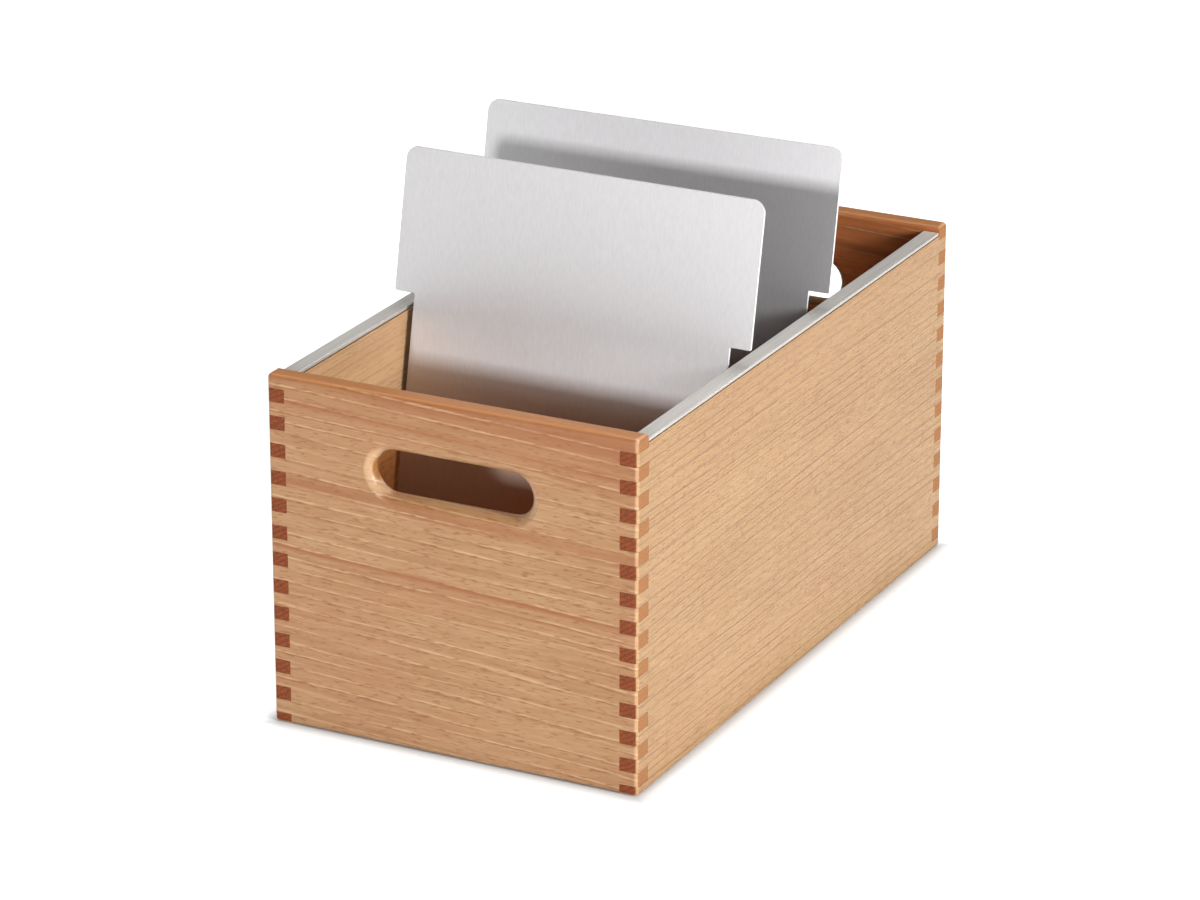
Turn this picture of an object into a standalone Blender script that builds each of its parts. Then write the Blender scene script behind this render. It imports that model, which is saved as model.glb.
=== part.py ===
"""Open card-index tray: a finger-jointed beech box with metal top rails and two support plates.

Metres, +Z up. The origin is the centre of the box's footprint, on the surface that it stands on.
The front panel faces -Y, and the box is longest along Y.
"""

import math

import bmesh
import bpy
from mathutils import Matrix, Vector

# The box, outside
WIDTH = 0.240
DEPTH = 0.434
HEIGHT = 0.219
EDGE_RADIUS = 0.0028

# Its panels
END_THICKNESS = 0.013
SIDE_THICKNESS = 0.0115
SIDE_HEIGHT = 0.213
END_LIFT = 0.0015  # the end panels stop this far above the table, and the sides carry the box
FINGER = 0.0085  # height of one finger, counted down from the top edge
FLOOR_THICKNESS = 0.004
FLOOR_TOP = 0.008
GROOVE_DEPTH = 0.005
GAP = 0.0003  # between pieces that touch

# The oblong grip hole in each end panel, with its rims rounded over
GRIP_LENGTH = 0.103
GRIP_HEIGHT = 0.027
GRIP_MIDDLE = 0.1706
GRIP_ROUNDING = 0.0062

# The rails along the tops of the sides, each with a tongue glued into a kerf
RAIL_WIDTH = 0.010
RAIL_INSET = 0.0004  # from the side's outer face
RAIL_THICKNESS = 0.002
RAIL_BEVEL = 0.0003
TONGUE_THICKNESS = 0.0015
TONGUE_DEPTH = 0.006
TONGUE_SETBACK = 0.008  # the tongue stops this far short of each end of its rail

# The two support plates, each bent from one sheet
SHEET = 0.0015
PLATE_LENGTH = 0.3089  # up the slope, from the floor board to the top edge
PLATE_LEAN = math.radians(11.8)
TAB_RISE = 0.2207  # up the slope, from the floor board to the underside of the tabs
TAB_SPAN = 0.2375
BODY_WIDTH = 0.2107
FOOT_LENGTH = 0.066
BEND_RADIUS = 0.002  # inside the bend
CORNER_RADIUS = 0.008
TAB_CORNER_RADIUS = 0.0015
ARC_STEPS = 8

# Where each plate stands: the foot of its leaf behind the front of the box, its X offset and its turn
FRONT_PLATE = (0.1023, 0.0005, math.radians(-0.5))
REAR_PLATE = (0.2124, 0.0, math.radians(1.0))

OVERSHOOT = 0.002  # how far a cutter reaches past what it cuts
FRONT = -DEPTH / 2
INNER_X = WIDTH / 2 - SIDE_THICKNESS
INNER_Y = DEPTH / 2 - END_THICKNESS
RAIL_MIDDLE = WIDTH / 2 - RAIL_INSET - RAIL_WIDTH / 2
# Turns a shape drawn as (y, z) and swept along its third axis so that it is swept along X
ACROSS = Matrix(((0, 0, 1, 0), (1, 0, 0, 0), (0, 1, 0, 0), (0, 0, 0, 1)))


def clear_scene():
    for obj in list(bpy.data.objects):
        bpy.data.objects.remove(obj, do_unlink=True)


def make_collection(name):
    collection = bpy.data.collections.new(name)
    bpy.context.scene.collection.children.link(collection)
    return collection


def make_material(name, colour, roughness, metallic=0.0):
    material = bpy.data.materials.new(name)
    material.use_nodes = True
    shader = material.node_tree.nodes["Principled BSDF"]
    shader.inputs["Base Color"].default_value = (*colour, 1.0)
    shader.inputs["Roughness"].default_value = roughness
    shader.inputs["Metallic"].default_value = metallic
    material.diffuse_color = (*colour, 1.0)
    return material


def add_block(bm, low, high):
    """A block between two corners, added to the mesh being built."""
    low, high = Vector(low), Vector(high)
    size = Matrix.Diagonal((*(high - low), 1.0))
    bmesh.ops.create_cube(bm, size=1.0, matrix=Matrix.Translation((low + high) / 2) @ size)


def finish_mesh(name, bm, collection, material=None):
    bmesh.ops.recalc_face_normals(bm, faces=bm.faces)
    mesh = bpy.data.meshes.new(name)
    bm.to_mesh(mesh)
    bm.free()
    obj = bpy.data.objects.new(name, mesh)
    collection.objects.link(obj)
    if material:
        mesh.materials.append(material)
        mesh.shade_smooth()
        mesh.set_sharp_from_angle(angle=math.radians(30))
    return obj


def make_blocks(name, boxes, collection, material=None):
    bm = bmesh.new()
    for low, high in boxes:
        add_block(bm, low, high)
    return finish_mesh(name, bm, collection, material)


def hide_cutter(obj):
    obj.hide_render = True
    obj.display_type = "WIRE"
    return obj


def combine(obj, other, operation):
    modifier = obj.modifiers.new(other.name, "BOOLEAN")
    modifier.operation = operation
    modifier.object = other
    modifier.solver = "EXACT"


def finger_bands():
    """(top, bottom, is_side) of each finger, from the top edge down to the table."""
    count = math.ceil(HEIGHT / FINGER)
    return [
        (HEIGHT - k * FINGER, max(HEIGHT - (k + 1) * FINGER, 0.0), k % 2 == 1) for k in range(count)
    ]


def notch_boxes(for_side, x, y):
    """The boxes cut from one corner of a panel, where the other panel's fingers pass."""
    boxes = []
    for top, bottom, is_side in finger_bands():
        if is_side == for_side:
            continue
        below = bottom - (GAP / 2 if bottom > 0 else OVERSHOOT)
        above = top + (GAP / 2 if top < HEIGHT else 2 * OVERSHOOT)
        boxes.append(((x[0], y[0], below), (x[1], y[1], above)))
    return boxes


def rounded_envelope(cutters):
    """The box's outer shape, with its edges rounded over: it trims all four panels."""
    low = (-WIDTH / 2, -DEPTH / 2, 0.0)
    high = (WIDTH / 2, DEPTH / 2, HEIGHT)
    envelope = hide_cutter(make_blocks("outer_shape", [(low, high)], cutters))
    bevel = envelope.modifiers.new("rounding", "BEVEL")
    bevel.width = EDGE_RADIUS
    bevel.segments = 3
    return envelope


def floor_space(cutters):
    """The room that the floor board takes from the panels: its grooves."""
    x = INNER_X + GROOVE_DEPTH + GAP
    y = INNER_Y + GROOVE_DEPTH + GAP
    low = (-x, -y, FLOOR_TOP - FLOOR_THICKNESS - GAP)
    high = (x, y, FLOOR_TOP + GAP)
    return hide_cutter(make_blocks("floor_grooves", [(low, high)], cutters))


def oblong(length, height):
    """Corners of an upright oblong with semicircular ends, centred on the origin, as (x, z)."""
    radius = height / 2
    points = []
    for side in (1, -1):
        for step in range(ARC_STEPS + 1):
            angle = -math.pi / 2 + math.pi * step / ARC_STEPS
            x = side * (length / 2 - radius + radius * math.cos(angle))
            points.append((x, side * radius * math.sin(angle)))
    return points


def grip_cutter(name, y_low, y_high, cutters):
    """The grip hole's shape through one end panel: an oblong that flares at both faces."""
    first = math.radians(15)
    last = math.radians(90)
    angles = [first + (last - first) * k / 3 for k in range(4)]
    # (depth below the panel's face, growth of the oblong on every side)
    flare = [(GRIP_ROUNDING * (1 - math.cos(a)), GRIP_ROUNDING * (1 - math.sin(a))) for a in angles]
    depth, growth = flare[0]
    flare.insert(0, (-OVERSHOOT, growth + (OVERSHOOT + depth) / math.tan(first)))
    sections = [(y_low + depth, growth) for depth, growth in flare]
    sections += [(y_high - depth, growth) for depth, growth in reversed(flare)]
    bm = bmesh.new()
    rings = []
    for y, growth in sections:
        outline = oblong(GRIP_LENGTH + 2 * growth, GRIP_HEIGHT + 2 * growth)
        rings.append([bm.verts.new((x, y, GRIP_MIDDLE + z)) for x, z in outline])
    for ring, following in zip(rings, rings[1:]):
        for k in range(len(ring)):
            after = (k + 1) % len(ring)
            bm.faces.new((ring[k], ring[after], following[after], following[k]))
    bm.faces.new(rings[0])
    bm.faces.new(rings[-1])
    return hide_cutter(finish_mesh(name, bm, cutters))


def end_profile(facing):
    """An end panel seen from its end, as (y, z), with its inner top edge rounded over."""
    outer = facing * (DEPTH / 2 + OVERSHOOT)
    inner = facing * INNER_Y
    middle = facing * (INNER_Y + EDGE_RADIUS)
    top = HEIGHT + OVERSHOOT
    edge = arc((middle, HEIGHT - EDGE_RADIUS), EDGE_RADIUS, 90 + 90 * facing, 90)
    return [(outer, END_LIFT), (inner, END_LIFT), *edge, (middle, top), (outer, top)]


def end_panel(name, facing, wood, parts, cutters, envelope, grooves):
    """The front (facing -1) or back (facing 1) panel."""
    x = WIDTH / 2 + OVERSHOOT
    panel = prism(name, end_profile(facing), ACROSS, -x, x, parts, wood)
    reach = x + OVERSHOOT
    notch_y = sorted((facing * (DEPTH / 2 + 2 * OVERSHOOT), facing * (INNER_Y - OVERSHOOT)))
    boxes = notch_boxes(False, (INNER_X - GAP, reach), notch_y)
    boxes += notch_boxes(False, (-reach, -INNER_X + GAP), notch_y)
    combine(panel, hide_cutter(make_blocks(name + "_notches", boxes, cutters)), "DIFFERENCE")
    hole_y = sorted((facing * DEPTH / 2, facing * INNER_Y))
    combine(panel, grip_cutter(name + "_grip", *hole_y, cutters), "DIFFERENCE")
    combine(panel, grooves, "DIFFERENCE")
    combine(panel, envelope, "INTERSECT")


def side_panel(name, side, wood, parts, cutters, envelope, grooves):
    """The left (side -1) or right (side 1) panel, with a kerf along its top for the rail's tongue."""
    x = sorted((side * (WIDTH / 2 + OVERSHOOT), side * INNER_X))
    y = DEPTH / 2 + OVERSHOOT
    bounds = ((x[0], -y, -OVERSHOOT), (x[1], y, SIDE_HEIGHT))
    panel = make_blocks(name, [bounds], parts, wood)
    notch_x = sorted((side * (WIDTH / 2 + 2 * OVERSHOOT), side * (INNER_X - OVERSHOOT)))
    reach = y + OVERSHOOT
    boxes = notch_boxes(True, notch_x, (INNER_Y - GAP, reach))
    boxes += notch_boxes(True, notch_x, (-reach, -INNER_Y + GAP))
    combine(panel, hide_cutter(make_blocks(name + "_notches", boxes, cutters)), "DIFFERENCE")
    middle = side * RAIL_MIDDLE
    half = TONGUE_THICKNESS / 2 + GAP
    end = INNER_Y - TONGUE_SETBACK + GAP
    kerf_low = (middle - half, -end, SIDE_HEIGHT - TONGUE_DEPTH - GAP)
    kerf_high = (middle + half, end, SIDE_HEIGHT + OVERSHOOT)
    kerf = hide_cutter(make_blocks(name + "_kerf", [(kerf_low, kerf_high)], cutters))
    combine(panel, kerf, "DIFFERENCE")
    combine(panel, grooves, "DIFFERENCE")
    combine(panel, envelope, "INTERSECT")


def floor_board(plywood, parts):
    x = INNER_X + GROOVE_DEPTH
    y = INNER_Y + GROOVE_DEPTH
    bounds = ((-x, -y, FLOOR_TOP - FLOOR_THICKNESS), (x, y, FLOOR_TOP))
    make_blocks("floor_board", [bounds], parts, plywood)


def rail(name, side, aluminium, parts, cutters):
    """A flat bar between the end panels, with a tongue under it."""
    middle = side * RAIL_MIDDLE
    base = SIDE_HEIGHT + GAP
    end = INNER_Y - GAP
    half = RAIL_WIDTH / 2
    bounds = ((middle - half, -end, base), (middle + half, end, base + RAIL_THICKNESS))
    bar = make_blocks(name, [bounds], parts, aluminium)
    bevel = bar.modifiers.new("edges", "BEVEL")
    bevel.width = RAIL_BEVEL
    bevel.segments = 2
    half = TONGUE_THICKNESS / 2
    end = INNER_Y - TONGUE_SETBACK
    low = (middle - half, -end, SIDE_HEIGHT - TONGUE_DEPTH)
    high = (middle + half, end, base + RAIL_THICKNESS / 2)
    tongue = hide_cutter(make_blocks(name + "_tongue", [(low, high)], cutters))
    combine(bar, tongue, "UNION")


def arc(centre, radius, start, end):
    """Points round part of a circle, both ends included; the angles are in degrees."""
    points = []
    for step in range(ARC_STEPS + 1):
        angle = math.radians(start + (end - start) * step / ARC_STEPS)
        points.append((centre[0] + radius * math.cos(angle), centre[1] + radius * math.sin(angle)))
    return points


def prism(name, outline, place, low, high, collection, material=None):
    """An outline in the XY plane, drawn out from low to high along Z, then put in its place."""
    bm = bmesh.new()
    face = bm.faces.new([bm.verts.new((x, y, low)) for x, y in outline])
    swept = bmesh.ops.extrude_face_region(bm, geom=[face])
    moved = [item for item in swept["geom"] if isinstance(item, bmesh.types.BMVert)]
    bmesh.ops.translate(bm, verts=moved, vec=(0.0, 0.0, high - low))
    bmesh.ops.transform(bm, matrix=place, verts=bm.verts)
    return finish_mesh(name, bm, collection, material)


def sheet_profile():
    """The bent sheet seen from its end, as (y, z): a leaning leaf and a flat foot behind it.

    The leaf's front face, drawn on down, meets the floor board's surface at the origin.
    """
    up = Vector((math.sin(PLATE_LEAN), math.cos(PLATE_LEAN)))
    back = Vector((math.cos(PLATE_LEAN), -math.sin(PLATE_LEAN)))
    outer = BEND_RADIUS + SHEET
    # The bend's centre is one outer radius from the leaf's face and from the floor.
    centre = back * outer + up * outer * (1 + math.sin(PLATE_LEAN)) / math.cos(PLATE_LEAN)
    leaf_side = 180 - math.degrees(PLATE_LEAN)
    top = up * (PLATE_LENGTH + OVERSHOOT)
    points = [top, *arc(centre, outer, leaf_side, 270)]
    points += [(FOOT_LENGTH, 0.0), (FOOT_LENGTH, SHEET)]
    points += [*arc(centre, BEND_RADIUS, 270, leaf_side), top + back * SHEET]
    return points


def leaf_outline():
    """The plate's front outline, as (x, distance up the slope): a body with two side tabs."""
    body, tab = BODY_WIDTH / 2, TAB_SPAN / 2
    small, large = TAB_CORNER_RADIUS, CORNER_RADIUS
    right = [(body, -OVERSHOOT), (body, TAB_RISE)]
    right += arc((tab - small, TAB_RISE + small), small, 270, 360)
    right += arc((tab - large, PLATE_LENGTH - large), large, 0, 90)
    return right + [(-x, up) for x, up in reversed(right)]


def support_plate(name, stand, aluminium, parts, cutters):
    """One bent sheet: its side profile drawn out across the box, trimmed to its front outline."""
    foot_y, offset, turn = stand
    place = Matrix.Translation((offset, FRONT + foot_y, FLOOR_TOP + GAP))
    place = place @ Matrix.Rotation(turn, 4, "Z")
    half = TAB_SPAN / 2 + OVERSHOOT
    plate = prism(name, sheet_profile(), ACROSS, -half, half, parts, aluminium)
    plate.matrix_world = place
    # The outline's second axis runs up the slope, and its third comes forwards out of the leaf.
    slope = Matrix.Rotation(math.pi / 2 - PLATE_LEAN, 4, "X")
    trim = prism(name + "_outline", leaf_outline(), slope, -2 * FOOT_LENGTH, OVERSHOOT, cutters)
    trim.matrix_world = place
    combine(plate, hide_cutter(trim), "INTERSECT")


def main():
    clear_scene()
    parts = make_collection("card_index_tray")
    cutters = make_collection("cutters")
    ends = make_material("beech_ends", (0.57, 0.33, 0.18), 0.45)
    sides = make_material("beech_sides", (0.68, 0.44, 0.25), 0.45)
    plywood = make_material("birch_plywood", (0.70, 0.55, 0.38), 0.6)
    bright = make_material("satin_aluminium", (0.78, 0.78, 0.78), 0.35, 1.0)
    brushed = make_material("brushed_aluminium", (0.72, 0.72, 0.72), 0.4, 1.0)

    envelope = rounded_envelope(cutters)
    grooves = floor_space(cutters)
    end_panel("front_panel", -1, ends, parts, cutters, envelope, grooves)
    end_panel("back_panel", 1, ends, parts, cutters, envelope, grooves)
    side_panel("left_side_panel", -1, sides, parts, cutters, envelope, grooves)
    side_panel("right_side_panel", 1, sides, parts, cutters, envelope, grooves)
    floor_board(plywood, parts)
    rail("left_rail", -1, bright, parts, cutters)
    rail("right_rail", 1, bright, parts, cutters)
    support_plate("front_support_plate", FRONT_PLATE, brushed, parts, cutters)
    support_plate("rear_support_plate", REAR_PLATE, brushed, parts, cutters)


main()
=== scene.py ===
"""Looks for the card-index tray: solid beech panels, satin rails and brushed support plates.

Every size is in metres, in the frame's own axes: +Z up, the front panel facing -Y.
"""

import math

import bmesh
import bpy
from mathutils import Matrix, Vector


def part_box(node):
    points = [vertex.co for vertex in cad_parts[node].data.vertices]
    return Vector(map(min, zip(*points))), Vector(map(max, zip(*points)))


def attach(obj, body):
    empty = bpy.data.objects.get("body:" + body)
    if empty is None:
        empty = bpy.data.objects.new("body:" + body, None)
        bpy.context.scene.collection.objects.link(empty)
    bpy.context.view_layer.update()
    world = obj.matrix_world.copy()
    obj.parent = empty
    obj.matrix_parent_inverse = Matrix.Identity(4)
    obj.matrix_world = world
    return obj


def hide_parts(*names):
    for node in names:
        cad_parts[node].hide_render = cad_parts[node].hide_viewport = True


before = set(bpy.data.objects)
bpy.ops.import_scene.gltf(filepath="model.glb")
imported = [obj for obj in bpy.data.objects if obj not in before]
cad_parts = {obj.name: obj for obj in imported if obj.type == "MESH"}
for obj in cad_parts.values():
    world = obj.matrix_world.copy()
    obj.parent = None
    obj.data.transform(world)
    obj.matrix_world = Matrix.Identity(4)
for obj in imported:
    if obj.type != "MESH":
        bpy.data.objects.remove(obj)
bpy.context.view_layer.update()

# Read from the frame: the box's outside and the thickness of its panels
FRONT_LOW, FRONT_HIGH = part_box("front_panel")
SIDE_LOW, SIDE_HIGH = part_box("right_side_panel")
RAIL_LOW, RAIL_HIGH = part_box("right_rail")
FLOOR_LOW, FLOOR_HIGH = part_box("floor_board")
HALF_WIDTH = FRONT_HIGH.x
HALF_DEPTH = -FRONT_LOW.y
HEIGHT = FRONT_HIGH.z
END_LIFT = FRONT_LOW.z
INNER_X = SIDE_LOW.x
INNER_Y = -FRONT_HIGH.y
SIDE_HEIGHT = SIDE_HIGH.z

# The box's details, as the CAD has them
EDGE_RADIUS = 0.0028
FINGER = 0.0085
GLUE_LINE = 0.00014  # the width of the hairline between two glued faces
GRIP_LENGTH = 0.103
GRIP_HEIGHT = 0.027
GRIP_MIDDLE = 0.1706  # its height above the table
GRIP_ROUNDING = 0.0062
TONGUE_THICKNESS = 0.0015
TONGUE_SETBACK = 0.008  # from each end panel to the end of a rail's tongue

# The support plates, as the CAD has them
SHEET = 0.0015
PLATE_LENGTH = 0.3089  # up the slope
PLATE_LEAN = math.radians(11.8)
TAB_RISE = 0.2207  # up the slope, to where the side tabs start
TAB_SPAN = 0.2375  # across both tabs
BODY_WIDTH = 0.2107
FOOT_LENGTH = 0.066
BEND_RADIUS = 0.002
CORNER_RADIUS = 0.008
TAB_CORNER_RADIUS = 0.0015
PLATE_EDGE = 0.0004  # the sheet's deburred edges
PLATE_GAP = 0.0003  # between a plate's foot and the floor board
# Where each plate stands: behind the box's front face, to the right, and its turn
FRONT_PLATE = (0.1023, 0.0005, math.radians(-0.5))
REAR_PLATE = (0.2124, 0.0, math.radians(1.0))

OVERSHOOT = 0.002  # how far a cutter reaches past the faces that it cuts
# Flat pieces that stand for a curve
ARC_STEPS = 16
ROUNDING_STEPS = 8
FLARE_STEPS = 6
PLATE_EDGE_STEPS = 2
FLARE_START = math.radians(12)  # the angle at which the grip's rounding leaves the panel's face
BEVEL_ANGLE = math.radians(40)  # edges sharper than this are bevelled
SHARP_ANGLE = math.radians(35)  # edges sharper than this are shaded as creases
# Turns a shape drawn as (y, z) and swept along its third axis so that it is swept along X
ACROSS = Matrix(((0, 0, 1, 0), (1, 0, 0, 0), (0, 1, 0, 0), (0, 0, 0, 1)))


# ---------------------------------------------------------------- meshes


def finish_mesh(name, bm):
    bmesh.ops.recalc_face_normals(bm, faces=bm.faces)
    mesh = bpy.data.meshes.new(name)
    bm.to_mesh(mesh)
    bm.free()
    obj = bpy.data.objects.new(name, mesh)
    bpy.context.scene.collection.objects.link(obj)
    return obj


def make_blocks(name, boxes):
    bm = bmesh.new()
    for low, high in boxes:
        low, high = Vector(low), Vector(high)
        place = Matrix.Translation((low + high) / 2) @ Matrix.Diagonal((*(high - low), 1.0))
        bmesh.ops.create_cube(bm, size=1.0, matrix=place)
    return finish_mesh(name, bm)


def arc(centre, radius, start, end):
    """Points round part of a circle, both ends included; the angles are in degrees."""
    points = []
    for step in range(ARC_STEPS + 1):
        angle = math.radians(start + (end - start) * step / ARC_STEPS)
        points.append((centre[0] + radius * math.cos(angle), centre[1] + radius * math.sin(angle)))
    return points


def prism(name, outline, place, low, high):
    """An outline in the XY plane, drawn out from low to high along Z, then put in its place."""
    bm = bmesh.new()
    face = bm.faces.new([bm.verts.new((x, y, low)) for x, y in outline])
    swept = bmesh.ops.extrude_face_region(bm, geom=[face])
    moved = [item for item in swept["geom"] if isinstance(item, bmesh.types.BMVert)]
    bmesh.ops.translate(bm, verts=moved, vec=(0.0, 0.0, high - low))
    bmesh.ops.transform(bm, matrix=place, verts=bm.verts)
    return finish_mesh(name, bm)


def combine(obj, other, operation):
    modifier = obj.modifiers.new(other.name, "BOOLEAN")
    modifier.operation = operation
    modifier.object = other
    modifier.solver = "EXACT"


def settle(obj, cutters, bevel=0.0):
    """Makes the modifiers' result the object's own mesh, removes its cutters, and shades it."""
    graph = bpy.context.evaluated_depsgraph_get()
    mesh = bpy.data.meshes.new_from_object(obj.evaluated_get(graph))
    mesh.transform(obj.matrix_world)
    obj.modifiers.clear()
    obj.matrix_world = Matrix()
    obj.data = mesh
    for cutter in cutters:
        bpy.data.objects.remove(cutter, do_unlink=True)
    if bevel:
        edges = obj.modifiers.new("edges", "BEVEL")
        edges.width = bevel
        edges.segments = PLATE_EDGE_STEPS
        edges.limit_method = "ANGLE"
        edges.angle_limit = BEVEL_ANGLE
        edges.harden_normals = True
    mesh.shade_smooth()
    mesh.set_sharp_from_angle(angle=SHARP_ANGLE)
    normals = obj.modifiers.new("normals", "WEIGHTED_NORMAL")
    normals.keep_sharp = True
    return obj


# ---------------------------------------------------------------- the wooden box


def finger_bands():
    """(top, bottom, is_side) of each finger, from the top edge down to the table."""
    count = math.ceil(HEIGHT / FINGER)
    return [
        (HEIGHT - k * FINGER, max(HEIGHT - (k + 1) * FINGER, 0.0), k % 2 == 1) for k in range(count)
    ]


def notch_boxes(for_side, x, y):
    """The boxes cut from one corner of a panel, where the other panel's fingers pass."""
    boxes = []
    for top, bottom, is_side in finger_bands():
        if is_side == for_side:
            continue
        below = bottom - (GLUE_LINE / 2 if bottom > 0 else OVERSHOOT)
        above = top + (GLUE_LINE / 2 if top < HEIGHT else 2 * OVERSHOOT)
        boxes.append(((x[0], y[0], below), (x[1], y[1], above)))
    return boxes


def oblong(length, height):
    """Corners of an upright oblong with semicircular ends, centred on the origin, as (x, z)."""
    radius = height / 2
    points = []
    for side in (1, -1):
        for step in range(ARC_STEPS + 1):
            angle = -math.pi / 2 + math.pi * step / ARC_STEPS
            x = side * (length / 2 - radius + radius * math.cos(angle))
            points.append((x, side * radius * math.sin(angle)))
    return points


def grip_cutter(y_low, y_high):
    """The grip hole's shape through one end panel: an oblong that flares at both faces."""
    turn = math.pi / 2 - FLARE_START
    angles = [FLARE_START + turn * k / FLARE_STEPS for k in range(FLARE_STEPS + 1)]
    # (depth below the panel's face, growth of the oblong on every side)
    flare = [(GRIP_ROUNDING * (1 - math.cos(a)), GRIP_ROUNDING * (1 - math.sin(a))) for a in angles]
    depth, growth = flare[0]
    flare.insert(0, (-OVERSHOOT, growth + (OVERSHOOT + depth) / math.tan(FLARE_START)))
    sections = [(y_low + depth, growth) for depth, growth in flare]
    sections += [(y_high - depth, growth) for depth, growth in reversed(flare)]
    bm = bmesh.new()
    rings = []
    for y, growth in sections:
        outline = oblong(GRIP_LENGTH + 2 * growth, GRIP_HEIGHT + 2 * growth)
        rings.append([bm.verts.new((x, y, GRIP_MIDDLE + z)) for x, z in outline])
    for ring, following in zip(rings, rings[1:]):
        for k in range(len(ring)):
            after = (k + 1) % len(ring)
            bm.faces.new((ring[k], ring[after], following[after], following[k]))
    bm.faces.new(rings[0])
    bm.faces.new(rings[-1])
    return finish_mesh("grip", bm)


def outer_shape():
    """The box's outside, with its edges rounded over."""
    low = (-HALF_WIDTH, -HALF_DEPTH, 0.0)
    high = (HALF_WIDTH, HALF_DEPTH, HEIGHT)
    shape = make_blocks("outer_shape", [(low, high)])
    bevel = shape.modifiers.new("rounding", "BEVEL")
    bevel.width = EDGE_RADIUS
    bevel.segments = ROUNDING_STEPS
    return shape


def floor_grooves():
    low = FLOOR_LOW - Vector((GLUE_LINE,) * 3)
    high = FLOOR_HIGH + Vector((GLUE_LINE,) * 3)
    return make_blocks("grooves", [(low, high)])


def end_panel(name, facing):
    """The front (facing -1) or back (facing 1) panel."""
    outer = facing * (HALF_DEPTH + OVERSHOOT)
    inner = facing * INNER_Y
    middle = facing * (INNER_Y + EDGE_RADIUS)
    top = HEIGHT + OVERSHOOT
    edge = arc((middle, HEIGHT - EDGE_RADIUS), EDGE_RADIUS, 90 + 90 * facing, 90)
    profile = [(outer, END_LIFT), (inner, END_LIFT), *edge, (middle, top), (outer, top)]
    x = HALF_WIDTH + OVERSHOOT
    panel = prism(name, profile, ACROSS, -x, x)
    reach = x + OVERSHOOT
    notch_y = sorted((facing * (HALF_DEPTH + 2 * OVERSHOOT), facing * (INNER_Y - OVERSHOOT)))
    boxes = notch_boxes(False, (INNER_X - GLUE_LINE, reach), notch_y)
    boxes += notch_boxes(False, (-reach, -INNER_X + GLUE_LINE), notch_y)
    cutters = [make_blocks("notches", boxes)]
    cutters.append(grip_cutter(*sorted((facing * HALF_DEPTH, facing * INNER_Y))))
    cutters.append(floor_grooves())
    for cutter in cutters:
        combine(panel, cutter, "DIFFERENCE")
    cutters.append(outer_shape())
    combine(panel, cutters[-1], "INTERSECT")
    return settle(panel, cutters)


def side_panel(name, side):
    """The left (side -1) or right (side 1) panel, with a kerf for the rail's tongue."""
    x = sorted((side * (HALF_WIDTH + OVERSHOOT), side * INNER_X))
    y = HALF_DEPTH + OVERSHOOT
    panel = make_blocks(name, [((x[0], -y, -OVERSHOOT), (x[1], y, SIDE_HEIGHT))])
    notch_x = sorted((side * (HALF_WIDTH + 2 * OVERSHOOT), side * (INNER_X - OVERSHOOT)))
    reach = y + OVERSHOOT
    boxes = notch_boxes(True, notch_x, (INNER_Y - GLUE_LINE, reach))
    boxes += notch_boxes(True, notch_x, (-reach, -INNER_Y + GLUE_LINE))
    middle = side * (RAIL_LOW.x + RAIL_HIGH.x) / 2
    half = TONGUE_THICKNESS / 2 + GLUE_LINE
    end = INNER_Y - TONGUE_SETBACK + GLUE_LINE
    kerf_low = (middle - half, -end, RAIL_LOW.z - GLUE_LINE)
    kerf_high = (middle + half, end, SIDE_HEIGHT + OVERSHOOT)
    cutters = [make_blocks("notches", boxes), make_blocks("kerf", [(kerf_low, kerf_high)])]
    cutters.append(floor_grooves())
    for cutter in cutters:
        combine(panel, cutter, "DIFFERENCE")
    cutters.append(outer_shape())
    combine(panel, cutters[-1], "INTERSECT")
    return settle(panel, cutters)


# ---------------------------------------------------------------- the support plates


def sheet_profile():
    """The bent sheet seen from its end, as (y, z): a leaning leaf and a flat foot behind it."""
    up = Vector((math.sin(PLATE_LEAN), math.cos(PLATE_LEAN)))
    back = Vector((math.cos(PLATE_LEAN), -math.sin(PLATE_LEAN)))
    outer = BEND_RADIUS + SHEET
    centre = back * outer + up * outer * (1 + math.sin(PLATE_LEAN)) / math.cos(PLATE_LEAN)
    leaf_side = 180 - math.degrees(PLATE_LEAN)
    top = up * (PLATE_LENGTH + OVERSHOOT)
    points = [top, *arc(centre, outer, leaf_side, 270)]
    points += [(FOOT_LENGTH, 0.0), (FOOT_LENGTH, SHEET)]
    points += [*arc(centre, BEND_RADIUS, 270, leaf_side), top + back * SHEET]
    return points


def leaf_outline():
    """The plate's front outline, as (x, distance up the slope): a body with two side tabs."""
    body, tab = BODY_WIDTH / 2, TAB_SPAN / 2
    small, large = TAB_CORNER_RADIUS, CORNER_RADIUS
    right = [(body, -OVERSHOOT), (body, TAB_RISE)]
    right += arc((tab - small, TAB_RISE + small), small, 270, 360)
    right += arc((tab - large, PLATE_LENGTH - large), large, 0, 90)
    return right + [(-x, up) for x, up in reversed(right)]


def support_plate(name, stand):
    foot_y, offset, turn = stand
    place = Matrix.Translation((offset, foot_y - HALF_DEPTH, FLOOR_HIGH.z + PLATE_GAP))
    place = place @ Matrix.Rotation(turn, 4, "Z")
    half = TAB_SPAN / 2 + OVERSHOOT
    plate = prism(name, sheet_profile(), place @ ACROSS, -half, half)
    slope = place @ Matrix.Rotation(math.pi / 2 - PLATE_LEAN, 4, "X")
    trim = prism("trim", leaf_outline(), slope, -2 * FOOT_LENGTH, OVERSHOOT)
    combine(plate, trim, "INTERSECT")
    return settle(plate, [trim], PLATE_EDGE)


# ---------------------------------------------------------------- materials


MIX_FIRST, MIX_SECOND, MIX_RESULT = 6, 7, 2  # where a Mix node keeps its colour sockets


def unit(axis):
    """The direction of one axis: 0 for X, 1 for Y, 2 for Z."""
    return tuple(1.0 if k == axis else 0.0 for k in range(3))


UP = unit(2)


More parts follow.
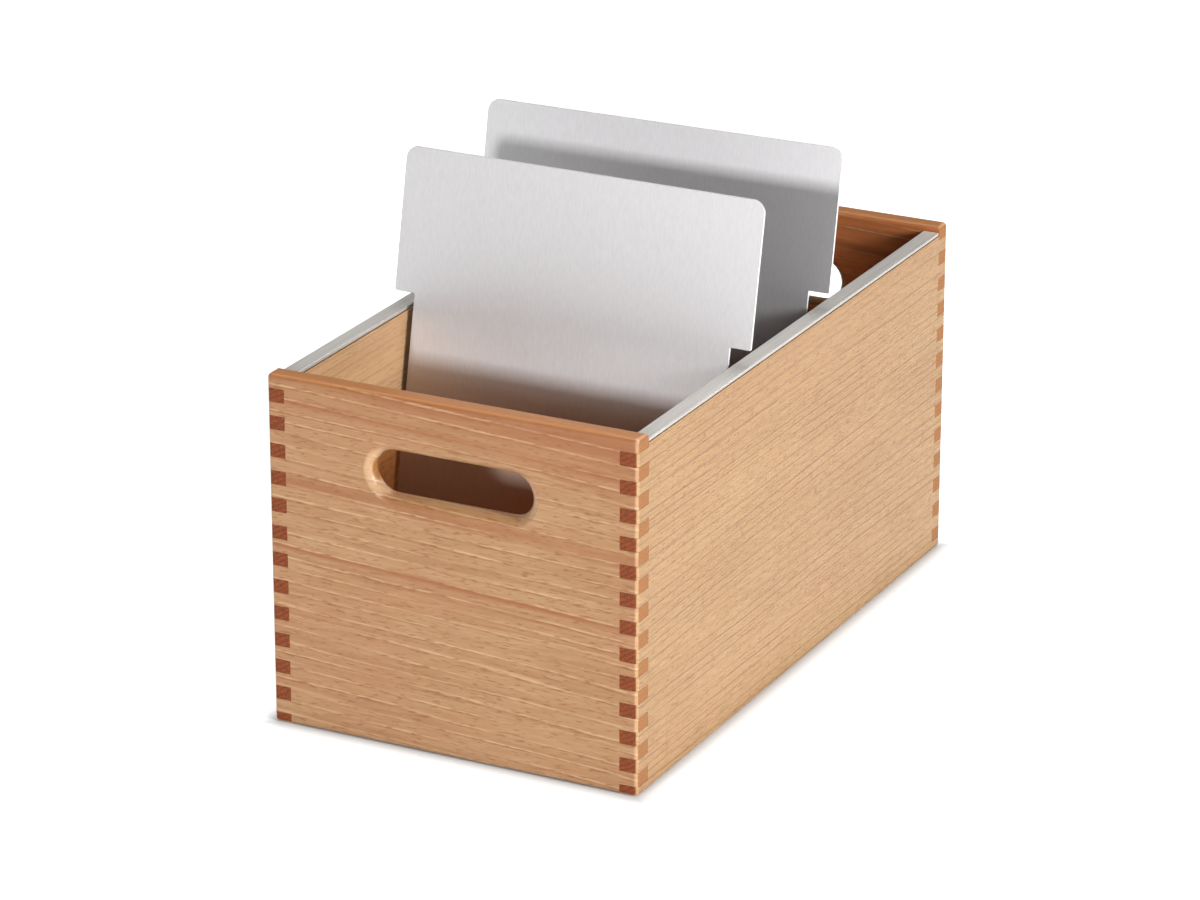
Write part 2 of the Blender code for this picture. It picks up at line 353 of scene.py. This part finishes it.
class Shading:
    """A material with a Principled shader, and short ways to add nodes to it.

    The grain, or the brushing, runs along one axis (0 for X, 1 for Y, 2 for Z).
    """

    def __init__(self, name, along=0, roughness=0.5, metallic=0.0):
        self.material = bpy.data.materials.new(name)
        self.material.use_nodes = True
        self.tree = self.material.node_tree
        self.shader = self.tree.nodes["Principled BSDF"]
        self.put("Roughness", roughness)
        self.put("Metallic", metallic)
        coordinates = self.node("ShaderNodeTexCoord").outputs
        self.place, self.normal = coordinates["Object"], coordinates["Normal"]
        self.along = along

    def node(self, kind, **settings):
        made = self.tree.nodes.new(kind)
        for key, value in settings.items():
            setattr(made, key, value)
        return made

    def feed(self, socket, value):
        """Links another node's socket to this one, or sets this one to a plain value."""
        if isinstance(value, bpy.types.NodeSocket):
            self.tree.links.new(value, socket)
        else:
            socket.default_value = value

    def put(self, name, value):
        self.feed(self.shader.inputs[name], value)

    def dot(self, vector, direction):
        made = self.node("ShaderNodeVectorMath", operation="DOT_PRODUCT")
        self.feed(made.inputs[0], vector)
        self.feed(made.inputs[1], direction)
        return made.outputs["Value"]

    def maths(self, operation, first, second=0.0):
        made = self.node("ShaderNodeMath", operation=operation)
        self.feed(made.inputs[0], first)
        self.feed(made.inputs[1], second)
        return made.outputs[0]

    def plus(self, first, second):
        return self.maths("ADD", first, second)

    def minus(self, first, second):
        return self.maths("SUBTRACT", first, second)

    def times(self, first, second):
        return self.maths("MULTIPLY", first, second)

    def spread(self, value, low, high, to_low=0.0, to_high=1.0):
        """Value from low to high, made smooth and clamped, as to_low to to_high."""
        made = self.node("ShaderNodeMapRange", interpolation_type="SMOOTHSTEP")
        for socket, number in zip(made.inputs, (value, low, high, to_low, to_high)):
            self.feed(socket, number)
        return made.outputs[0]

    def ridge(self, value, profile):
        """A smooth rise, a flat top and a fall; the profile holds where each starts and ends."""
        start, full, fading, end = profile
        return self.times(self.spread(value, start, full), self.spread(value, end, fading))

    def fraction(self, value, shuffle, amount):
        """The fractional part of the value, after the shuffle noise has moved it by the amount."""
        return self.maths("FRACT", self.plus(value, self.times(shuffle, amount)))

    def noise(self, scale, detail=2.0, roughness=0.5):
        """Noise from 0 to 1, with this many waves for each metre along X, Y and Z."""
        stretched = self.node("ShaderNodeVectorMath", operation="MULTIPLY")
        self.feed(stretched.inputs[0], self.place)
        self.feed(stretched.inputs[1], scale)
        made = self.node("ShaderNodeTexNoise")
        values = (stretched.outputs[0], 1.0, detail, roughness)
        for name, value in zip(("Vector", "Scale", "Detail", "Roughness"), values):
            self.feed(made.inputs[name], value)
        return made.outputs["Fac"]

    def grain(self, mark, detail=2.0, roughness=0.5):
        """Noise whose marks have this (length along the grain, width across it)."""
        length, width = mark
        scale = tuple(1 / length if axis == self.along else 1 / width for axis in range(3))
        return self.noise(scale, detail, roughness)

    def swing(self, noise, amount):
        """Noise as a shift to both sides of zero, by up to half the amount."""
        return self.times(self.minus(noise, 0.5), amount)

    def blend(self, amount, first, second, mode="MIX"):
        made = self.node("ShaderNodeMix", data_type="RGBA", blend_type=mode)
        self.feed(made.inputs["Factor"], amount)
        for index, colour in ((MIX_FIRST, first), (MIX_SECOND, second)):
            value = colour if isinstance(colour, bpy.types.NodeSocket) else (*colour, 1.0)
            self.feed(made.inputs[index], value)
        return made.outputs[MIX_RESULT]

    def bump(self, height, depth):
        made = self.node("ShaderNodeBump")
        self.feed(made.inputs["Distance"], depth)
        self.feed(made.inputs["Height"], height)
        self.put("Normal", made.outputs["Normal"])


# Marks in beech, as (length along the grain, width across it)
WOBBLE_MARK = (0.05, 0.02)
SPACING_MARK = (0.9, 0.025)
UNEVEN_MARK = (0.12, 0.009)
SHUFFLE_MARK = (0.5, 0.012)
TONE_MARK = (0.14, 0.03)
BLUSH_MARK = (0.09, 0.05)
FIBRE_MARK = (0.016, 0.0015)
FLECK_MARK = (0.0065, 0.0011)
DRIFT_WIDTH = 0.06
RUN_WIDTH = 0.006

# Across one ring or one fine line, from 0 to 1: where its dark and light sides rise and fall
LATE_WOOD = (0.04, 0.12, 0.12, 0.4)
EARLY_WOOD_START = (0.95, 1.0)
EARLY_WOOD_END = (0.07, 0.0)
CREST = (0.76, 0.87, 0.90, 1.0)
TROUGH = (0.60, 0.75, 0.77, 0.86)
RING_SHUFFLE = 2.5

# What noise does, as (from this value, to this value), and then the result at each if not 0 and 1
LATE_UNEVEN = (0.3, 0.65, 0.25, 1.0)
EARLY_UNEVEN = (0.4, 0.7)
BAND_UNEVEN = (0.25, 0.6, 0.5, 1.0)
CREST_BREAKS = (0.3, 0.6)
TROUGH_BREAKS = (0.3, 0.65, 0.1, 1.0)
CREST_FLECKS = (0.6, 0.4, 0.45, 1.0)
TROUGH_FLECKS = (0.38, 0.6, 0.3, 1.0)
RAY_FLECKS = (0.58, 0.72)
DARK_FIBRES = (0.5, 0.8)
LIGHT_FIBRES = (0.5, 0.2)
WARMER = (0.35, 0.65)
PINKER = (0.4, 0.65, 0.0, 0.5)
SATIN = (0.25, 0.75, 0.27, 0.37)  # the lacquer's roughness, over the fibres

WOOD_SPECULAR = 0.3
GRAIN_RELIEF = 0.000045
INNER_FACE_FADE = (0.0012, 0.0002)  # outwards, to where its colour has gone and where it is full
INNER_PAINTED_LIGHT = 0.8
INNER_LINE_PAINTED_LIGHT = 0.4
PAINTED_LIGHT_HEIGHTS = (0.12, 0.16)  # the heights between which the painted light inside turns from its low colour to its high one
TOP_EDGE_DEPTH = 0.0016
TOP_EDGE_PAINTED_LIGHT = 0.8

# How far a face turns to the ends of the grain, from 0 to 1
RIM = (0.15, 0.45, 0.75, 0.92)
RIM_PAINTED_HIGHLIGHT = 0.27
GRAIN_END = (0.80, 0.93)
GRAIN_END_ROUGHNESS = 0.35
PORE_SCALE = (1100.0, 1100.0, 1100.0)
PORES = (0.4, 0.8)
STRIPE_SHIFT_SCALE = (90.0, 90.0, 90.0)
STRIPE_SHIFT = 1.2
STRIPE_SLANT = (170.0, 170.0, -300.0)  # stripes for each metre along X, Y and Z
STRIPES = (0.4, 0.9, 0.0, 0.5)


def growth_lines(wood, look):
    """Heights that follow the wandering grain: on the board's face, and through its rings."""
    drift = wood.grain((look["wander_length"], DRIFT_WIDTH))
    wobble = wood.grain(WOBBLE_MARK, 3.0)
    shift = wood.plus(wood.swing(drift, look["wander"]), wood.swing(wobble, look["wobble"]))
    sloping = [0.0, 0.0, 1.0]
    sloping[wood.along] = look["slope"]
    height = wood.plus(wood.dot(wood.place, sloping), shift)
    tilt = [0.0, 0.0, 0.0]
    tilt[1 - wood.along] = look["ring_tilt"]
    return height, wood.plus(height, wood.dot(wood.place, tilt))


def ring_lines(wood, look, across, uneven):
    """The soft dark line that ends each ring, and the thin light one beside it."""
    spacing = wood.grain(SPACING_MARK)
    ring = wood.fraction(wood.maths("DIVIDE", across, look["ring_width"]), spacing, RING_SHUFFLE)
    late = wood.times(wood.ridge(ring, LATE_WOOD), wood.spread(uneven, *LATE_UNEVEN))
    ends = wood.spread(ring, *EARLY_WOOD_END), wood.spread(ring, *EARLY_WOOD_START)
    early = wood.times(wood.maths("MAXIMUM", *ends), wood.spread(uneven, *EARLY_UNEVEN))
    return late, early


def fine_lines(wood, look, across, fleck):
    """The light and the dark side of the finer lines, which are unevenly spaced and broken."""
    shuffle = wood.grain(SHUFFLE_MARK)
    fine = wood.fraction(wood.maths("DIVIDE", across, look["fine_width"]), shuffle, look["shuffle"])
    broken = wood.grain((look["run"], RUN_WIDTH))
    crest = wood.times(wood.ridge(fine, CREST), wood.spread(broken, *CREST_BREAKS))
    crest = wood.times(crest, wood.spread(fleck, *CREST_FLECKS))
    trough = wood.times(wood.ridge(fine, TROUGH), wood.spread(broken, *TROUGH_BREAKS))
    return crest, trough


def inner_face(wood, look, level):
    """Whether a face is inside the box, and its colour there: painted bounced light and shade,
    redder low down in the dark.
    """
    depth = wood.maths("ABSOLUTE", wood.dot(wood.place, unit(1 - wood.along)))
    limits = [look["inner_face"] + step for step in INNER_FACE_FADE]
    shade = wood.blend(wood.spread(level, *PAINTED_LIGHT_HEIGHTS), look["painted_light_low"], look["painted_light_high"])
    return wood.spread(depth, *limits), shade


def grain_end(wood, look):
    """The colour of the grain's ends: darker, with pores and with the rings cut across."""
    pores = wood.noise(PORE_SCALE)
    shift = wood.noise(STRIPE_SHIFT_SCALE, 1.0)
    stripe = wood.fraction(wood.dot(wood.place, STRIPE_SLANT), shift, STRIPE_SHIFT)
    cut = wood.blend(wood.spread(pores, *PORES), look["tip"], look["tip_dark"])
    return wood.blend(wood.spread(stripe, *STRIPES), cut, look["tip_dark"])


def beech(name, along, look):
    """Solid beech whose grain runs along one axis."""
    wood = Shading(name, along)
    wood.put("Specular IOR Level", WOOD_SPECULAR)
    level = wood.dot(wood.place, UP)
    height, across = growth_lines(wood, look)
    uneven = wood.grain(UNEVEN_MARK)
    fibre = wood.grain(FIBRE_MARK, 2.0, 0.6)
    fleck = wood.grain(FLECK_MARK, 1.0)
    late, early = ring_lines(wood, look, across, uneven)
    crest, trough = fine_lines(wood, look, across, fleck)
    # The ground colour, with slow changes of tone, and painted bounced light and shade on the faces
    # inside the box
    tone = wood.grain(TONE_MARK, 3.0, 0.55)
    blush = wood.grain(BLUSH_MARK)
    colour = wood.blend(wood.spread(tone, *WARMER), look["pale"], look["warm"])
    colour = wood.blend(wood.spread(blush, *PINKER), colour, look["pink"])
    inside, shade = inner_face(wood, look, level)
    colour = wood.blend(wood.times(inside, INNER_PAINTED_LIGHT), colour, shade)
    # The lines inside the box fade into the same painted bounced light and shade
    line = wood.blend(wood.times(inside, INNER_LINE_PAINTED_LIGHT), look["line"], shade)
    # Fibres, rings and the dark side of the fine lines
    colour = wood.blend(wood.spread(fibre, *DARK_FIBRES, 0.0, look["fibre"]), colour, line)
    light_fibre = wood.spread(fibre, *LIGHT_FIBRES, 0.0, look["fibre"])
    colour = wood.blend(light_fibre, colour, look["light"])
    colour = wood.blend(wood.times(late, look["ring"]), colour, line)
    colour = wood.blend(wood.times(early, look["ring_light"]), colour, look["light"])
    dashes = wood.times(trough, wood.spread(fleck, *TROUGH_FLECKS))
    colour = wood.blend(wood.times(dashes, look["trough"]), colour, line)
    # Broad bands of darker growth that run the length of the board
    for middle, half_width, strength in look["bands"]:
        away = wood.maths("ABSOLUTE", wood.minus(height, middle))
        band = wood.times(wood.spread(away, half_width, 0.0), strength)
        band = wood.times(band, wood.spread(uneven, *BAND_UNEVEN))
        colour = wood.blend(band, colour, look["red"])
    # The light side of the fine lines, and the ray flecks
    colour = wood.blend(wood.times(crest, look["crest"]), colour, look["light"])
    colour = wood.blend(wood.spread(fleck, *RAY_FLECKS, 0.0, look["fleck"]), colour, line)
    # Painted light: the flat top edge is coloured lighter and redder, for the light that falls on
    # it from above
    top = wood.spread(level, HEIGHT - TOP_EDGE_DEPTH, HEIGHT, 0.0, TOP_EDGE_PAINTED_LIGHT)
    colour = wood.blend(top, colour, look["edge"])
    # Rounded edges that turn towards the ends of the grain get a painted highlight, and the ends
    # are dark
    turned = wood.maths("ABSOLUTE", wood.dot(wood.normal, unit(along)))
    colour = wood.blend(wood.times(wood.ridge(turned, RIM), RIM_PAINTED_HIGHLIGHT), colour, look["rim"])
    tip = wood.spread(turned, *GRAIN_END)
    wood.put("Base Color", wood.blend(tip, colour, grain_end(wood, look)))
    polish = wood.spread(fibre, *SATIN)
    wood.put("Roughness", wood.plus(polish, wood.times(tip, GRAIN_END_ROUGHNESS)))
    relief = wood.plus(wood.minus(crest, trough), fibre)
    wood.bump(wood.minus(relief, fleck), GRAIN_RELIEF)
    return wood.material


VENEER_TONE_MARK = (0.2, 0.03)
VENEER_FIBRE_MARK = (0.03, 0.0011)
VENEER_TONES = (0.3, 0.7)
VENEER_FIBRES = (0.45, 0.75, 0.0, 0.3)
VENEER_RELIEF = 0.00008
VENEER_ROUGHNESS = 0.55


def plywood():
    """The floor board's face veneer, with its grain along Y."""
    pale, tan, dark = (0.50, 0.33, 0.18), (0.42, 0.26, 0.135), (0.30, 0.17, 0.08)
    sheet = Shading("birch_plywood", 1, VENEER_ROUGHNESS)
    tone = sheet.grain(VENEER_TONE_MARK, 3.0)
    fibre = sheet.grain(VENEER_FIBRE_MARK, 3.0, 0.6)
    colour = sheet.blend(sheet.spread(tone, *VENEER_TONES), pale, tan)
    sheet.put("Base Color", sheet.blend(sheet.spread(fibre, *VENEER_FIBRES), colour, dark))
    sheet.bump(fibre, VENEER_RELIEF)
    return sheet.material


BRUSH_MARK = (0.08, 0.0011)
GRIT_MARK = (0.012, 0.0009)
CLOUD_SCALE = (14.0, 14.0, 14.0)
BRUSH_STREAKS = (0.7, 0.3)
GRIT_STREAKS = (0.45, 0.75, 0.0, 0.3)
BRUSH_ROUGHNESS = (0.25, 0.75, -0.012, 0.012)
CLOUD_ROUGHNESS = (0.3, 0.7, -0.015, 0.015)
BRUSH_RELIEF = 0.0000025
UPWARD_PAINTED_HIGHLIGHT = (0.4, 0.8)  # how far up a face has to look to take the painted highlight: the sheets' cut edges and the rails' tops
PAINTED_SHADE_HEIGHTS = (0.192, 0.170)  # the heights between which painted shade, the dark brown reflection of the wood, comes in low in the box


def brushed(name, along, look):
    """Satin metal with fine brushing along one axis."""
    metal = Shading(name, along, look["roughness"], look["metallic"])
    lines = metal.grain(BRUSH_MARK, 2.0, 0.6)
    grit = metal.grain(GRIT_MARK)
    cloud = metal.noise(CLOUD_SCALE)
    # Painted highlight: faces that look up, the cut edges and the rails' tops, are made paler
    edge = metal.spread(metal.dot(metal.normal, UP), *UPWARD_PAINTED_HIGHLIGHT)
    tint = metal.blend(edge, look["tone"], look["edge"])
    streak = (look["streak"],) * 3
    tint = metal.blend(metal.spread(lines, *BRUSH_STREAKS), tint, streak, "MULTIPLY")
    tint = metal.blend(metal.spread(grit, *GRIT_STREAKS), tint, streak, "MULTIPLY")
    # Painted shade: low in the box the metal's colour is darkened and browned, standing in for the
    # shadow and the wood's reflection there
    low = metal.spread(metal.dot(metal.place, UP), *PAINTED_SHADE_HEIGHTS)
    metal.put("Base Color", metal.blend(low, tint, look["painted_shade"], "MULTIPLY"))
    varied = metal.plus(metal.spread(lines, *BRUSH_ROUGHNESS), look["roughness"])
    metal.put("Roughness", metal.plus(varied, metal.spread(cloud, *CLOUD_ROUGHNESS)))
    metal.bump(lines, BRUSH_RELIEF)
    return metal.material


# The looks. Colours are linear, lengths are in metres and strengths run from 0 to 1.
# pale, warm, pink: the ground colours
# line, light, red: the colours of dark lines, light lines and broad bands
# tip, tip_dark, rim: the colours of the grain's ends, and the painted highlight on rounded edges
# near them
# edge: the painted light on the flat top edge, and for the metal the painted highlight on faces
# that look up, its cut edges and the rails' tops
# painted_light_low, painted_light_high: the painted bounced light and shade on faces at the length
# inner_face from the tray's middle, low down and high up
# slope, ring_tilt: the gradients of the grain along the board, and of the rings through it
# wander, wander_length, wobble: the lengths of the grain's slow swings, up and along, and of its
#     quick ones
# ring_width, ring, ring_light: the length between rings, the strengths of their two lines
# fine_width, shuffle, run: the length between finer lines, how many of these lengths they are
#     shifted by at most, and the length of their unbroken runs
# crest, trough, fibre, fleck: the strengths of the finer lines' light and dark sides, of fibres
#     and of ray flecks
# bands: the height, half the width and the strength of each broad band
# tone: the metal's colour
# painted_shade, streak: what the metal's colour is multiplied by low in the box, as painted shade
# and brown reflection of the wood, and in the brushing
END_LOOK = {
    "pale": (0.358, 0.205, 0.096), "warm": (0.327, 0.166, 0.073), "pink": (0.361, 0.184, 0.088),
    "line": (0.22, 0.080, 0.028), "light": (0.53, 0.345, 0.19), "red": (0.27, 0.096, 0.035),
    "tip": (0.285, 0.125, 0.041), "tip_dark": (0.225, 0.085, 0.024), "slope": 0.05,
    "ring_tilt": 0.35, "ring_width": 0.0145, "wander": 0.013, "wander_length": 0.45,
    "wobble": 0.0013, "ring": 0.3, "ring_light": 0.35, "fine_width": 0.0076, "shuffle": 0.9,
    "crest": 0.62, "trough": 0.65, "fibre": 0.3, "fleck": 0.6, "run": 0.11,
    "inner_face": INNER_Y, "painted_light_low": (0.95, 0.285, 0.078), "painted_light_high": (0.95, 0.285, 0.084),
    "edge": (0.60, 0.262, 0.106), "rim": (0.62, 0.45, 0.30),
    "bands": (
        (0.227, 0.055, 0.65), (0.216, 0.013, 0.65), (0.200, 0.004, 0.75), (0.151, 0.007, 0.7),
        (0.108, 0.003, 0.9),
    ),
}
SIDE_LOOK = {
    "pale": (0.336, 0.194, 0.077), "warm": (0.306, 0.167, 0.061), "pink": (0.336, 0.181, 0.072),
    "line": (0.165, 0.073, 0.025), "light": (0.435, 0.272, 0.125), "red": (0.28, 0.140, 0.052),
    "tip": (0.215, 0.048, 0.007), "tip_dark": (0.09, 0.012, 0.002), "slope": 0.005,
    "ring_tilt": 0.8, "ring_width": 0.0058, "wander": 0.012, "wander_length": 0.6,
    "wobble": 0.0014, "ring": 0.7, "ring_light": 0.35, "fine_width": 0.0026, "shuffle": 2.0,
    "crest": 0.32, "trough": 0.7, "fibre": 0.42, "fleck": 0.55, "run": 0.09,
    "inner_face": INNER_X, "painted_light_low": (0.96, 0.39, 0.12), "painted_light_high": (0.53, 0.332, 0.182),
    "edge": (0.44, 0.255, 0.12), "rim": (0.55, 0.40, 0.26), "bands": ((0.205, 0.03, 0.3),),
}
RAIL_LOOK = {
    "tone": (0.50, 0.47, 0.44), "edge": (0.77, 0.735, 0.69), "painted_shade": (1.0, 1.0, 1.0),
    "streak": 0.86, "roughness": 0.48, "metallic": 0.4,
}
PLATE_LOOK = {
    "tone": (0.585, 0.577, 0.587), "edge": (0.96, 0.94, 0.9), "painted_shade": (0.74, 0.58, 0.46),
    "streak": 0.94, "roughness": 0.45, "metallic": 0.62,
}


# ---------------------------------------------------------------- the object


def add_piece(obj, body, node, material):
    obj.data.materials.clear()
    obj.data.materials.append(material)
    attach(obj, body)
    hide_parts(node)


def dress_node(node, material):
    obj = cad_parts[node]
    obj.data.materials.clear()
    obj.data.materials.append(material)


def build_object():
    ends = beech("beech_ends", 0, END_LOOK)
    sides = beech("beech_sides", 1, SIDE_LOOK)
    for name, facing in (("front_panel", -1), ("back_panel", 1)):
        add_piece(end_panel(name + "_beech", facing), "box", name, ends)
    for name, side in (("left_side_panel", -1), ("right_side_panel", 1)):
        add_piece(side_panel(name + "_beech", side), "box", name, sides)
    rails = brushed("satin_rail", 1, RAIL_LOOK)
    for name in ("left_rail", "right_rail"):
        dress_node(name, rails)
    dress_node("floor_board", plywood())
    plate = brushed("brushed_plate", 2, PLATE_LOOK)
    for which, stand in (("front", FRONT_PLATE), ("rear", REAR_PLATE)):
        sheet = support_plate(which + "_plate_sheet", stand)
        add_piece(sheet, which + "_plate", which + "_support_plate", plate)


# ---------------------------------------------------------------- the studio


# Soft lights: (name, azimuth from 0 in front of the tray to 90 on its right, elevation, distance,
# side of the square, watts), with both angles in degrees
LIGHTS = (
    ("front_light", -4, 14.5, 5.0, 0.42, 102),
    ("right_light", 73, 16, 3.0, 0.72, 90),
    ("high_light", 60, 26, 5.0, 2.0, 80),
    ("back_light", 196, 74, 5.0, 2.0, 100),
)
LIGHT_AIM = Vector((0.0, 0.0, 0.12))
AMBIENT = 0.03
WHITE = (1.0, 1.0, 1.0, 1.0)
FLOOR_HALF = 12.0
FLOOR_DROP = 0.0002  # below the tray, so that their faces don't meet
FLOOR_TONE = (0.6, 0.6, 0.6, 1.0)
FLOOR_ROUGHNESS = 0.9
FLOOR_GLOW = 0.9
PAINTED_SHADOW_FADE = (-0.006, 0.016)  # how far outside the tray the floor's glow starts and is full; nearer the tray the floor is darker, a painted contact shadow

CAMERA_PLACE = (1.2945, -2.5713, 1.2172)
CAMERA_AZIMUTH = math.radians(26.98)
CAMERA_ELEVATION = math.radians(20.89)
CAMERA_LENS = 151.74  # millimetres, as the sensor's width is
CAMERA_SENSOR = 36.0
CAMERA_REACH = 60.0


def area_light(name, azimuth, elevation, distance, size, power):
    data = bpy.data.lights.new(name, "AREA")
    data.shape = "SQUARE"
    data.size = size
    data.energy = power
    light = bpy.data.objects.new(name, data)
    bpy.context.scene.collection.objects.link(light)
    a, e = math.radians(azimuth), math.radians(elevation)
    away = Vector((math.sin(a) * math.cos(e), -math.cos(a) * math.cos(e), math.sin(e)))
    light.location = LIGHT_AIM + away * distance
    light.rotation_euler = away.to_track_quat("Z", "Y").to_euler()


def glowing_white():
    """White that glows like a light table, but not under the tray and just around it, where the
    missing glow paints a contact shadow on top of the tray's own.
    """
    white = Shading("studio_white", roughness=FLOOR_ROUGHNESS)
    white.put("Base Color", FLOOR_TONE)
    white.put("Emission Color", WHITE)
    beyond = []
    for axis, half in ((0, HALF_WIDTH), (1, HALF_DEPTH)):
        reach = white.maths("ABSOLUTE", white.dot(white.place, unit(axis)))
        beyond.append(white.minus(reach, half))
    away = white.maths("MAXIMUM", *beyond)
    white.put("Emission Strength", white.spread(away, *PAINTED_SHADOW_FADE, 0.0, FLOOR_GLOW))
    return white.material


def studio():
    bm = bmesh.new()
    bmesh.ops.create_grid(bm, x_segments=1, y_segments=1, size=FLOOR_HALF)
    floor = finish_mesh("studio_floor", bm)
    floor.location.z = -FLOOR_DROP
    floor.data.materials.append(glowing_white())
    world = bpy.data.worlds.new("studio_world")
    world.use_nodes = True
    background = world.node_tree.nodes["Background"]
    background.inputs["Color"].default_value = WHITE
    background.inputs["Strength"].default_value = AMBIENT
    bpy.context.scene.world = world
    for light in LIGHTS:
        area_light(*light)


def camera():
    data = bpy.data.cameras.new("camera")
    data.sensor_width = CAMERA_SENSOR
    data.lens = CAMERA_LENS
    data.clip_end = CAMERA_REACH
    obj = bpy.data.objects.new("camera", data)
    bpy.context.scene.collection.objects.link(obj)
    obj.location = CAMERA_PLACE
    obj.rotation_euler = (math.pi / 2 - CAMERA_ELEVATION, 0.0, CAMERA_AZIMUTH)
    bpy.context.scene.camera = obj


build_object()
studio()
camera()
bpy.context.scene.view_settings.view_transform = "Standard"
